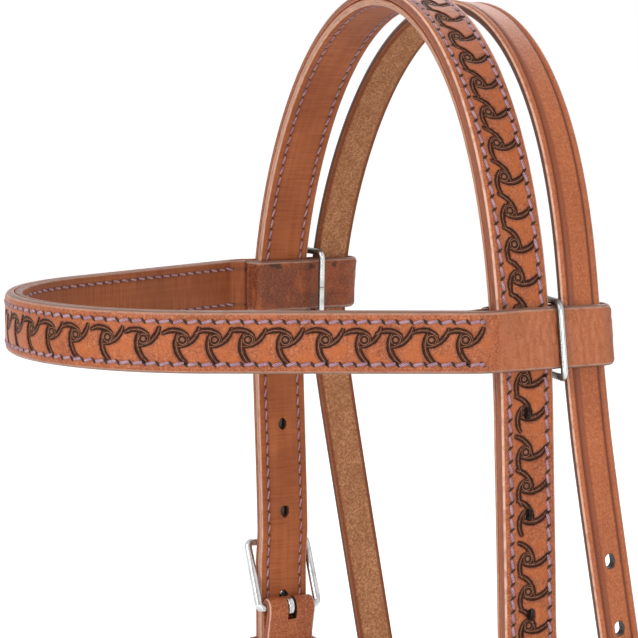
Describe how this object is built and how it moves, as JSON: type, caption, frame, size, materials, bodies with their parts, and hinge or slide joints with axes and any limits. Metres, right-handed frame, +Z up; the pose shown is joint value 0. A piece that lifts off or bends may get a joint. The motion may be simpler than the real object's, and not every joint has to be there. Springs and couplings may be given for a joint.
{
  "type": "western headstall",
  "caption": "Western headstall of tooled two-ply leather: crown over the poll, browband folded round the straps with wire loops, throatlatch, and buckled cheekpieces.",
  "frame": {"origin": "on the horse's poll, under the middle of the crown's lining", "axes": "+Z up the horse's head as the tack hangs, -Y towards the horse's forehead, +X towards its near (left) side"},
  "size_m": [0.2032, 0.2045, 0.4535],
  "materials": {
    "tooled_leather": "tooled russet leather, glossy, antiqued in the recesses",
    "lining_leather": "smooth oiled leather",
    "plain_leather": "plain russet leather, creased edges, suede flesh side",
    "keeper_leather": "smooth, burnished edges",
    "stainless_steel": "polished stainless",
    "steel_wire": "drawn wire, bright",
    "stitching_thread": "waxed pale lilac thread"
  },
  "bodies": {
    "headstall": {"crown_face": "tooled_leather", "crown_lining": "lining_leather", "throatlatch_strap": "plain_leather", "throat_buckle_frame": "stainless_steel", "throat_fixed_keeper": "keeper_leather", "cheek_near_face": "tooled_leather", "cheek_near_lining": "lining_leather", "cheek_near_buckle_frame": "stainless_steel", "cheek_near_fixed_keeper": "keeper_leather", "cheek_near_lower_post": "stainless_steel", "cheek_near_lower_screw": "stainless_steel", "cheek_near_upper_post": "stainless_steel", "cheek_near_upper_screw": "stainless_steel", "cheek_far_face": "tooled_leather", "cheek_far_lining": "lining_leather", "cheek_far_buckle_frame": "stainless_steel", "cheek_far_fixed_keeper": "keeper_leather", "cheek_far_lower_post": "stainless_steel", "cheek_far_lower_screw": "stainless_steel", "cheek_far_upper_post": "stainless_steel", "cheek_far_upper_screw": "stainless_steel"},
    "browband": {"browband_face": "tooled_leather", "browband_lining": "lining_leather", "wire_loop_near": "steel_wire", "wire_loop_far": "steel_wire"},
    "cheek_near_tongue": {"cheek_near_buckle_tongue": "stainless_steel"},
    "cheek_far_tongue": {"cheek_far_buckle_tongue": "stainless_steel"},
    "throat_tongue": {"throat_buckle_tongue": "stainless_steel"},
    "cheek_near_keeper": {"cheek_near_loose_keeper": "keeper_leather"},
    "cheek_far_keeper": {"cheek_far_loose_keeper": "keeper_leather"},
    "throat_keeper": {"throat_loose_keeper": "keeper_leather"}
  },
  "joints": [
    {"name": "browband_slide", "type": "slide", "parent": "headstall", "child": "browband", "axis": [0, 0, 1], "range_m": [-0.002, 0.002]},
    {"name": "cheek_near_tongue_hinge", "type": "hinge", "parent": "headstall", "child": "cheek_near_tongue", "pos_m": [0.0871, -0.00084, -0.22062], "axis": [0, 1, 0.0036], "range_deg": [0, 5]},
    {"name": "cheek_near_keeper_slide", "type": "slide", "parent": "headstall", "child": "cheek_near_keeper", "axis": [0, -0.0036, 1], "range_m": [-0.025, 0.02]},
    {"name": "cheek_far_tongue_hinge", "type": "hinge", "parent": "headstall", "child": "cheek_far_tongue", "pos_m": [-0.0871, -0.00084, -0.22062], "axis": [0, -1, -0.0036], "range_deg": [0, 5]},
    {"name": "cheek_far_keeper_slide", "type": "slide", "parent": "headstall", "child": "cheek_far_keeper", "axis": [0, -0.0036, 1], "range_m": [-0.025, 0.02]},
    {"name": "throat_tongue_hinge", "type": "hinge", "parent": "headstall", "child": "throat_tongue", "pos_m": [0.08798, 0.03469, -0.21822], "axis": [0, 0.9852, 0.1716], "range_deg": [0, 5]},
    {"name": "throat_keeper_slide", "type": "slide", "parent": "headstall", "child": "throat_keeper", "axis": [0, -0.1716, 0.9852], "range_m": [-0.015, 0.0015]}
  ]
}
